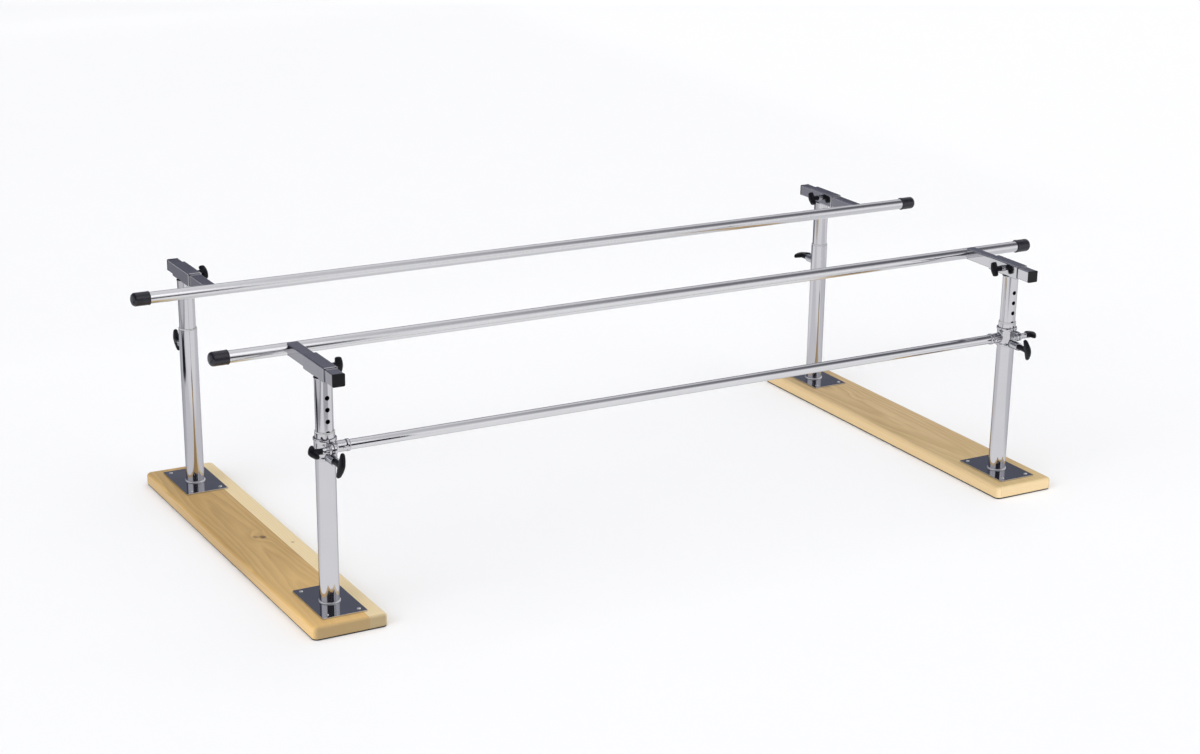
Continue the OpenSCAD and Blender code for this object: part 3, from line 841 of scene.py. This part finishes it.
# Handles
def t_handle(span, hub_len, mid_t=BAR_MID, tip_t=BAR_TIP):
    """One moulding on +Z: a round hub, and a bar along X with a flat front, a curved back and thin ends."""
    steps, points = 40, 28
    squareness, fullness, tip_from, least_tip = 2.6, 1.7, 0.84, 0.06
    waist, sunk = HUB_R * 0.93, 0.008
    s = Shape()
    s.add(lathe([
        (HUB_R - 0.001, 0.0), (HUB_R, 0.001), (waist, hub_len * 0.45), (waist, hub_len * 0.6),
        (HUB_R, hub_len), (HUB_R, hub_len + sunk),
    ], 48))
    rings = []
    for i in range(steps + 1):
        q = sin(pi * (i / steps - 0.5))
        swell = 1 - abs(q) ** fullness
        tip = max(sqrt(max(0.0, 1 - max(0.0, (abs(q) - tip_from) / (1 - tip_from)) ** 2)), least_tip)
        thick = tip_t + (mid_t - tip_t) * swell
        wide = (BAR_END_W + (BAR_W - BAR_END_W) * swell) * tip
        ring = []
        for a in full_turn(points):
            side = math.copysign(abs(cos(a)) ** (2 / squareness), cos(a)) * wide / 2
            rise = math.copysign(abs(sin(a)) ** (2 / squareness), sin(a)) * thick / 2 * tip
            ring.append((span / 2 * q, side, hub_len + thick / 2 + rise))
        rings.append(ring)
    return blended(s.add(skin(rings)).mesh(), voxel=0.0009, rounds=4)


PULL_HANDLE = t_handle(PULL_SPAN, PULL_HIGH.y - PULL_LOW.y - BAR_MID)
CLAMP_HANDLE = t_handle(CLAMP_SPAN, CLAMP_HUB, CLAMP_MID, CLAMP_TIP)
COLLAR_HANDLE = t_handle(COLLAR_SPAN, COLLAR_HUB)


def handle(node, me, axis, turn, body):
    """A handle that stands on an axis, turned round it."""
    spot = axis @ Matrix.Rotation(radians(turn), 4, "Z")
    stand_in(node, moved(me, spot), HANDLE, body, 60)


def pull_handle(post):
    axis = post_matrix(post) @ at(0, PULL_LOW.y, PIN_Z) @ LAY["y"]
    handle(post + "_pull_handle", PULL_HANDLE, axis, 90 + POSTS[post].pull, post + "_pin")


def clamp_screw(post, kind, me, axis, start, seat, turn):
    """A clamp handle with its hub from the seat outwards along an axis, and its stud from the start."""
    screw = f"{post}_{kind}_screw"
    handle(f"{post}_{kind}_knob", me, axis @ at(z=seat), turn, screw)
    stud = Shape().add(rod(STUD_R, start, seat + STUD_DEPTH, 24), axis)
    put(f"{post}_{kind}_stud", stud.mesh(), ZINC, screw)


def arm_knob(post):
    axis = post_matrix(post) @ at(0, CLAMP_Y, RAIL_Z) @ LAY["x"]
    clamp_screw(post, "arm", CLAMP_HANDLE, axis, CLAMP_LOW.x, CLAMP_SEAT, POSTS[post].clamp)


def collar_knob(post):
    axis = post_matrix(post) @ at(0, EAR_Y, EAR_Z) @ LAY["-x"]
    turn = 90 + POSTS[post].collar
    clamp_screw(post, "collar", COLLAR_HANDLE, axis, -COLLAR_KNOB_HIGH.x, COLLAR_SEAT, turn)


# Sleeves, arms and plugs
def square_tube(half, wall, y0, y1, corner):
    """A square tube along Y with eased rims."""
    e, bore, inside = 0.0008, half - wall, corner * 0.36
    levels = (
        (half - e, corner - e, y0), (half, corner, y0 + e),
        (half, corner, y1 - e), (half - e, corner - e, y1),
        (bore + e, inside + e, y1), (bore, inside, y1 - e),
        (bore, inside, y0 + e), (bore + e, inside + e, y0),
    )
    return turned_in(skin([square_ring(*level) for level in levels], "join"))


def sleeve(post):
    """Square sleeve welded on the inner tube, with the nut boss of its clamp handle."""
    spot = post_matrix(post) @ at(z=RAIL_Z)
    boss_end = CLAMP_SEAT - 0.0003
    s = Shape().add(square_tube(SLEEVE_HALF, SLEEVE_WALL, SLEEVE_LOW.y, SLEEVE_HIGH.y, SLEEVE_CORNER), spot)
    side = spot @ at(0, CLAMP_Y) @ LAY["x"]
    boss = [
        (SLEEVE_BOSS_R, SLEEVE_HALF - EASE), (SLEEVE_BOSS_R, boss_end - 0.001),
        (SLEEVE_BOSS_R - 0.0003, boss_end - 0.0003), (SLEEVE_BOSS_R - 0.001, boss_end), (STUD_R, boss_end),
    ]
    s.add(lathe(boss, 48), side)
    s.add(sweep(circle(SLEEVE_BOSS_R + 0.0002, SLEEVE_HALF, 64), 0.0010, 8, True, RIPPLE), side)
    s.add(sweep(circle(INNER_R + 0.0002, INNER_HIGH.z, 96), 0.0016, 8, True, RIPPLE), post_matrix(post))
    stand_in(post + "_sleeve", s.mesh(), FITTING, shared(post, "lift"))


def on_rail(x, z, r):
    """Point on the handrail's outside that faces the post, with the rail seen from the arm's own frame."""
    return (x, -ARM_IN + sqrt(max(r ** 2 - z ** 2, 0)), z)


def arm(post):
    """Square arm, its inner end cut to the round of the handrail and welded to it."""
    spot = post_matrix(post) @ at(z=RAIL_Z)
    inside, end = 0.0012, ARM_OUT - 0.0003
    bore = ARM_HALF - ARM_WALL
    outside_end, inside_end = square_ring(ARM_HALF, ARM_CORNER, end), square_ring(bore, inside, end)
    rings = [[on_rail(x, z, RAIL_R) for x, _, z in outside_end], outside_end, inside_end]
    rings.append([on_rail(x, z, RAIL_R) for x, _, z in inside_end])
    s = Shape().add(turned_in(skin(rings, "join")), spot)
    seam = rounded(ARM_HALF + 0.0003, ARM_HALF - 0.0012, ARM_CORNER, 14)
    bead = [on_rail(x, math.copysign(min(abs(z), RAIL_R - EASE), z), RAIL_R + 0.0004) for x, z in seam]
    s.add(sweep(bead, 0.0015, 8, True, 0.15), spot)
    stand_in(post + "_arm", s.mesh(), CHROME, shared(post, "bar"), 30)


def arm_plugs(side, sign):
    """Black plugs in the outer ends of one side's arms: a flange over the tube and a stem in its bore."""
    flange, stem = ARM_HALF + PLUG_LIP, ARM_HALF - ARM_WALL - 0.0002
    head = slab(flange, flange, 0, PLUG_HIGH.y - ARM_OUT, 0.0045, 0.0016, edge_steps=4)
    foot = slab(stem, stem, 0, PLUG_DEPTH, 0.002, 0.0004, steps=4, edge_steps=1)
    s = Shape()
    for post in POSTS:
        if POSTS[post].y == sign:
            end = post_matrix(post) @ at(0, ARM_OUT, RAIL_Z)
            s.add(head, end @ LAY["y"])
            s.add(foot, end @ LAY["-y"])
    stand_in(side + "_arm_plugs", s.mesh(), PLUG, side + "_bar")


# Handrails
def rail(side, sign):
    tube = lathe(tube_profile(RAIL_R - RAIL_WALL, RAIL_R, RAIL_LOW.x, RAIL_HIGH.x), 128, "join")
    s = Shape().add(tube, at(0, sign * RAIL_Y, RAIL_Z) @ LAY["x"])
    stand_in(side + "_rail", s.mesh(), RAIL, side + "_bar")


def rail_caps(side, sign):
    """Rubber caps over the rail's ends, with a lip at the mouth and a domed end."""
    r, bore, core = (CAP_HIGH.z - CAP_LOW.z) / 2, RAIL_R + FIT, 0.0005
    body, straight = r - 0.0006, CAP_LEN - CAP_DOME
    profile = [
        (bore, 0.0), (r - 0.0014, 0.0), (r - 0.0004, 0.0005), (r, 0.0015), (r, 0.0040), (r - 0.0005, 0.0050),
        (body, straight),
    ]
    for t in quarter_turn(9)[1:]:
        profile.append((body - CAP_DOME * (1 - cos(t)), straight + CAP_DOME * sin(t)))
    profile += [(core, CAP_LEN), (core, CAP_LEN - CAP_TIP), (bore, CAP_LEN - CAP_TIP)]
    s = Shape()
    for way in ("x", "-x"):
        mouth = at(0, sign * RAIL_Y, RAIL_Z) @ LAY[way] @ at(z=CAP_HIGH.x - CAP_LEN)
        s.add(lathe(profile, 96, "join"), mouth)
    stand_in(side + "_rail_caps", s.mesh(), CAP, side + "_bar", 40)


# Brace and collars
def brace():
    low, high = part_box("brace_tube")
    tube = lathe(tube_profile(BRACE_R - BRACE_WALL, BRACE_R, low.x, high.x), 96, "join")
    s = Shape().add(tube, at(0, -POST_Y, BRACE_Z) @ LAY["x"])
    stand_in("brace_tube", s.mesh(), BRACE, "base")


def collar_casting():
    """Split collar as one casting: ring with raised rims, brace socket, clamping ears and handle boss."""
    low, high, end = COLLAR_LOW.z, COLLAR_HIGH.z, COLLAR_HIGH.x
    rim, taper, edge = 0.008, 0.003, 0.001
    waist, neck = COLLAR_R - 0.0022, SOCKET_R - 0.0016
    ring = [
        (COLLAR_R - edge, low), (COLLAR_R, low + edge), (COLLAR_R, low + rim),
        (waist, low + rim + taper), (waist, high - rim - taper),
        (COLLAR_R, high - rim), (COLLAR_R, high - edge), (COLLAR_R - edge, high),
    ]
    socket = [(neck, OUTER_R - 0.004), (neck, end - 0.013), (SOCKET_R, end - 0.010), (SOCKET_R, end)]
    boss = [(HUB_R + 0.002, EAR_X - 0.004), (HUB_R, -COLLAR_LOW.x - 0.010), (HUB_R, -COLLAR_LOW.x)]
    ear = at(0, EAR_Y, EAR_Z)
    s = Shape().add(lathe(ring, 96)).add(lathe(socket, 72), at(z=BRACE_Z) @ LAY["x"])
    s.add(block((-EAR_X, 0.010, EAR_Z - EAR_R), (EAR_X, EAR_Y, EAR_Z + EAR_R)))
    s.add(rod(EAR_R, -EAR_X, EAR_X, 64), ear @ LAY["x"])
    s.add(lathe(boss, 48), ear @ LAY["-x"])
    me = blended(s.mesh(), voxel=0.0013, rounds=6)
    far = 0.2
    return cut(me, [
        (rod(COLLAR_BORE, low - far, high + far, 128), at()),
        (rod(BRACE_R + 2 * FIT, COLLAR_R, far, 72), at(z=BRACE_Z) @ LAY["x"]),
        (block((-EAR_SLOT / 2, 0.0, low - far), (EAR_SLOT / 2, far, high + far)), at()),
        (rod(HOUSING_R + 0.0016, 0.0, far, 72), at(z=PIN_Z) @ LAY["y"]),
        (rod(STUD_R + 0.0002, -far, far, 32), ear @ LAY["x"]),
    ])


COLLAR_CASTING = collar_casting()


def collar(post):
    me = moved(COLLAR_CASTING, post_matrix(post))
    stand_in(post + "_collar", me, FITTING, "base", 32)


def hexagon_head(across, height, bore_r=0.0):
    """Hexagon nut or bolt head on +Z, its corners turned off at the outer face."""
    n, flat = 48, across / 2

    def level(z, limit):
        out = []
        for a in full_turn(n):
            r = min(flat / cos(a % (pi / 3) - pi / 6), limit)
            out.append((r * cos(a), r * sin(a), z))
        return out

    chamfer = flat * 0.155
    rings = [level(0, 1), level(height - chamfer * 0.6, 1), level(height - chamfer * 0.3, flat * 1.06)]
    rings.append(level(height, flat * 0.96))
    if bore_r:
        rings += [circle(bore_r + EASE, height, n), circle(bore_r, height - EASE, n), circle(bore_r, 0, n)]
        return skin(rings, "join")
    return skin(rings)


def collar_nuts():
    s = Shape()
    for post in NEAR_POSTS:
        seat = post_matrix(post) @ at(0, EAR_Y, EAR_Z) @ LAY["x"] @ at(z=EAR_X)
        s.add(hexagon_head(NUT_ACROSS, NUT_H, STUD_R), seat)
    stand_in("collar_nuts", s.mesh(), ZINC, "base", 25)


def brace_bolts():
    """Bolts across the brace sockets, with a domed head outwards and a nut inwards."""
    seat, r, h, key = SOCKET_R - 0.0016, BOLT_HEAD_R, BOLT_HEAD_H, 0.0022
    head = [
        (BOLT_R, -0.001), (r - 0.0003, 0), (r, 0.0004), (r, h * 0.45), (r * 0.86, h * 0.8), (r * 0.55, h),
        (key, h), (key, h * 0.4), (0.0002, h * 0.4),
    ]
    s = Shape()
    for post in NEAR_POSTS:
        spot = post_matrix(post) @ at(BOLT_X, 0, BRACE_Z)
        s.add(rod(BOLT_R, -seat - h, seat, 24), spot @ LAY["y"])
        s.add(lathe(head, 40), spot @ LAY["y"] @ at(z=seat))
        s.add(hexagon_head(2 * r * cos(pi / 6), h), spot @ LAY["-y"] @ at(z=seat))
    stand_in("brace_bolts", s.mesh(), ZINC, "base", 25)


# The whole object
POST_PIECES = (
    foot_plate, outer_tube, inner_tube, pin_housing, pull_pin, pin_spring, pull_handle,
    sleeve, arm, arm_knob,
)
for side, sign in SIDES:
    rail(side, sign)
    rail_caps(side, sign)
    arm_plugs(side, sign)
for side in WOOD:
    board(side)
    mat(side)
for post in POSTS:
    for make in POST_PIECES:
        make(post)
for post in NEAR_POSTS:
    collar(post)
    collar_knob(post)
plate_screws()
guide_bushes()
brace()
collar_nuts()
brace_bolts()


# Floor, light and camera
FLOOR_R, FLOOR_Z = 60, -0.0003
# The glowing sheet that paints the floor's reflections: its reach and height, and its even painted glow
REFLECTED_R, REFLECTED_Z = 10, 0.001
REFLECTED_LEVEL = (0.98, 0.98, 0.985)
# Painted darker patches in the floor's reflection: where each fades in and out along X and along Y, and its
# colour
PAINTED_REFLECTION_PATCHES = {
    "between_rails": ((-3.4, -2.9, 2.9, 3.4), (-0.5, 0.0, 0.9, 1.1), (0.79, 0.79, 0.81)),
    "beyond": ((-4.5, -4.0, 4.0, 4.5), (2.0, 2.6, 9.0, 10.0), (0.32, 0.32, 0.36)),
    "beyond_left": ((-4.5, -4.0, -1.4, -0.9), (0.6, 0.9, 1.9, 2.3), (0.62, 0.62, 0.65)),
    "near_right": ((1.4, 1.8, 3.0, 3.6), (-2.4, -1.9, -0.2, 0.1), (0.76, 0.76, 0.79)),
    "in_front": ((-2.3, -2.1, -0.25, 0.1), (-4.9, -4.4, -2.4, -2.05), (0.52, 0.52, 0.55)),
    "far_left": ((-9.0, -8.0, -3.35, -3.30), (-8.0, -7.0, 7.0, 8.0), (0.72, 0.72, 0.74)),
    "left_line": ((-3.36, -3.25, -3.04, -2.92), (-8.0, -7.0, 7.0, 8.0), (0.40, 0.40, 0.43)),
    "left_streak": ((-3.20, -3.10, -2.58, -2.48), (-0.05, 0.08, 1.02, 1.15), (0.01, 0.01, 0.02)),
}


def stage_sheet(name, corners, material):
    me = bpy.data.meshes.new(name)
    me.from_pydata(corners, [], [(0, 1, 2, 3)])
    me.materials.append(material)
    o = place(name, me)
    return o


def level_square(reach, z):
    """Corners of a level square round the origin."""
    return [(a * reach, b * reach, z) for a, b in ((-1, -1), (1, -1), (1, 1), (-1, 1))]


def pale_floor():
    m = Mat("pale_floor")
    return m.finish(
        Base_Color=m.mix(m.noise(m.place, 3.0), (0.962, 0.947, 0.914), (0.974, 0.959, 0.926)),
        Roughness=0.9,
        Specular_IOR_Level=0.1,
    )


def glow(m, color):
    """Makes a material shine with a colour and nothing else."""
    return m.finish(
        Base_Color=(0, 0, 0), Specular_IOR_Level=0.0, Emission_Color=color, Emission_Strength=1.0,
    )


def mirror_only(o):
    """Leaves a sheet to reflections."""
    o.visible_camera = o.visible_diffuse = o.visible_shadow = False


def painted_floor_reflection():
    """A glowing sheet just above the floor, seen only in reflections, which paints the floor's reflection:
    an even glow with darker patches painted in.
    """
    m = Mat("painted_floor_reflection")
    x, y, _ = m.axes(m.place)
    parts = []
    for along_x, along_y, tone in PAINTED_REFLECTION_PATCHES.values():
        parts.append((m.times(m.band(x, *along_x), m.band(y, *along_y)), tone))
    lit = glow(m, m.cover(REFLECTED_LEVEL, parts))
    mirror_only(stage_sheet("painted_floor_reflection", level_square(REFLECTED_R, REFLECTED_Z), lit))


def standing_card(name, x0, x1, y, top, color):
    """An upright sheet along X that stands on the floor and glows with a colour, seen only in reflections: a
    painted reflection.
    """
    corners = [(x0, y, 0), (x1, y, 0), (x1, y, top), (x0, y, top)]
    mirror_only(stage_sheet(name, corners, glow(Mat(name), color)))


def studio_sky():
    """The room, seen in reflections and giving soft light. Turn counts in degrees from the horizon straight
    ahead over the zenith to the horizon behind. The left is slate. Each part covers the ones before it."""
    world = bpy.data.worlds.new("studio")
    bpy.context.scene.world = world
    world.use_nodes = True
    w = Nodes(world.node_tree)
    x, y, z = w.axes(w.node("ShaderNodeTexCoord").outputs["Generated"])
    turn = w.times(w.math("ARCTAN2", z, y), 180 / pi)
    low = w.mix(w.soft(turn, 15.5, 18.5), (0.180, 0.185, 0.230), (0.265, 0.270, 0.320))
    slate = w.mix(w.soft(turn, 19.5, 22), low, (0.150, 0.160, 0.200))
    bright = w.mix(w.soft(x, 0.40, 0.54), (0.90, 0.90, 0.92), (0.72, 0.72, 0.75))
    # Bright to the right of straight ahead, but for a band low down
    ahead = w.times(w.soft(x, 0.1, 0.25), w.minus(1.0, w.band(turn, 8, 13, 28, 36)))
    # Dark from the zenith to behind: a border on the right, and deep dusk in the middle and on the left
    border = w.times(w.band(turn, 68, 98, 124, 166), w.soft(x, 0.28, 0.58))
    dusk = w.times(w.soft(turn, 96, 124), w.soft(x, 0.10, 0.29, 1.0, 0.0))
    sides = w.soft(w.math("ABSOLUTE", x), 0.66, 0.80)
    # Pale at the horizon all round, and low down behind on the right
    behind = w.times(w.soft(turn, 140, 174), w.soft(x, 0.29, 0.36))
    pale = w.math("MAXIMUM", w.soft(z, 0.02, 0.10, 1.0, 0.0), behind)
    color = w.cover(slate, (
        (ahead, bright),
        (border, (0.13, 0.13, 0.15)),
        (dusk, (0.05, 0.05, 0.06)),
        (sides, (0.85, 0.85, 0.87)),
        (pale, (1.02, 1.02, 1.04)),
    ))
    light = w.node("ShaderNodeBackground", {0: color})
    w.node("ShaderNodeOutputWorld", {0: light.outputs[0]})


def lamp(kind, name, energy):
    data = bpy.data.lights.new(name, kind)
    data.energy = energy
    return data, place(name, data)


def soft_sun(name, toward, strength, spread, color=(1.0, 1.0, 1.0)):
    """A wide lamp at no distance in particular, so that the floor is evenly lit out to where it ends."""
    data, o = lamp("SUN", name, strength)
    data.angle = radians(spread)
    data.color = color
    o.rotation_euler = Vector(toward).to_track_quat("-Z", "Y").to_euler()
    o.visible_glossy = False


def softbox(name, spot, aim, size, power):
    """A lit panel that shows only as a highlight."""
    data, o = lamp("AREA", name, power)
    data.shape = "RECTANGLE"
    data.size, data.size_y = size
    o.location = spot
    o.rotation_euler = (Vector(aim) - Vector(spot)).to_track_quat("-Z", "Y").to_euler()
    o.visible_diffuse = False


def camera():
    """The photograph's viewpoint: heading, tilt and roll in radians, and its picture centre in pixels."""
    width, height = 1200, 754
    spot = (-3.71982, -6.61208, 2.85783)
    heading, tilt, roll = 0.5572, 0.3519, 0.0288
    focal, centre_x, centre_y = 2339.35, 702.46, 468.64
    data = bpy.data.cameras.new("camera")
    data.sensor_fit = "HORIZONTAL"
    data.sensor_width = 36.0
    data.lens = data.sensor_width * focal / width
    data.shift_x = (width / 2 - centre_x) / width
    data.shift_y = (centre_y - height / 2) / width
    data.clip_end = 200
    ahead = Vector((sin(heading) * cos(tilt), cos(heading) * cos(tilt), -sin(tilt)))
    level = Vector((cos(heading), -sin(heading), 0))
    up = level.cross(ahead)
    right = cos(roll) * level + sin(roll) * up
    over = cos(roll) * up - sin(roll) * level
    o = place("camera", data)
    o.matrix_world = at(*spot) @ Matrix((right, over, -ahead)).transposed().to_4x4()
    bpy.context.scene.camera = o


stage_sheet("floor", level_square(FLOOR_R, FLOOR_Z), pale_floor())
studio_sky()
soft_sun("overhead", (0.05, 0.25, -1.0), 1.35, 110)
soft_sun("fill", (0.76, 0.46, -0.32), 1.85, 70, color=(0.93, 1.0, 1.14))
softbox("left_box", spot=(-0.75, -2.4, 2.9), aim=(-1.3, -0.35, 0.8), size=(1.3, 2.0), power=5)
painted_floor_reflection()
# A dark card seen only in reflections: a painted dark reflection on the chrome
standing_card("dark_reflection_card", x0=-0.85, x1=-0.02, y=-2.9, top=1.31, color=(0.03, 0.03, 0.04))
camera()
bpy.context.scene.view_settings.view_transform = "Standard"
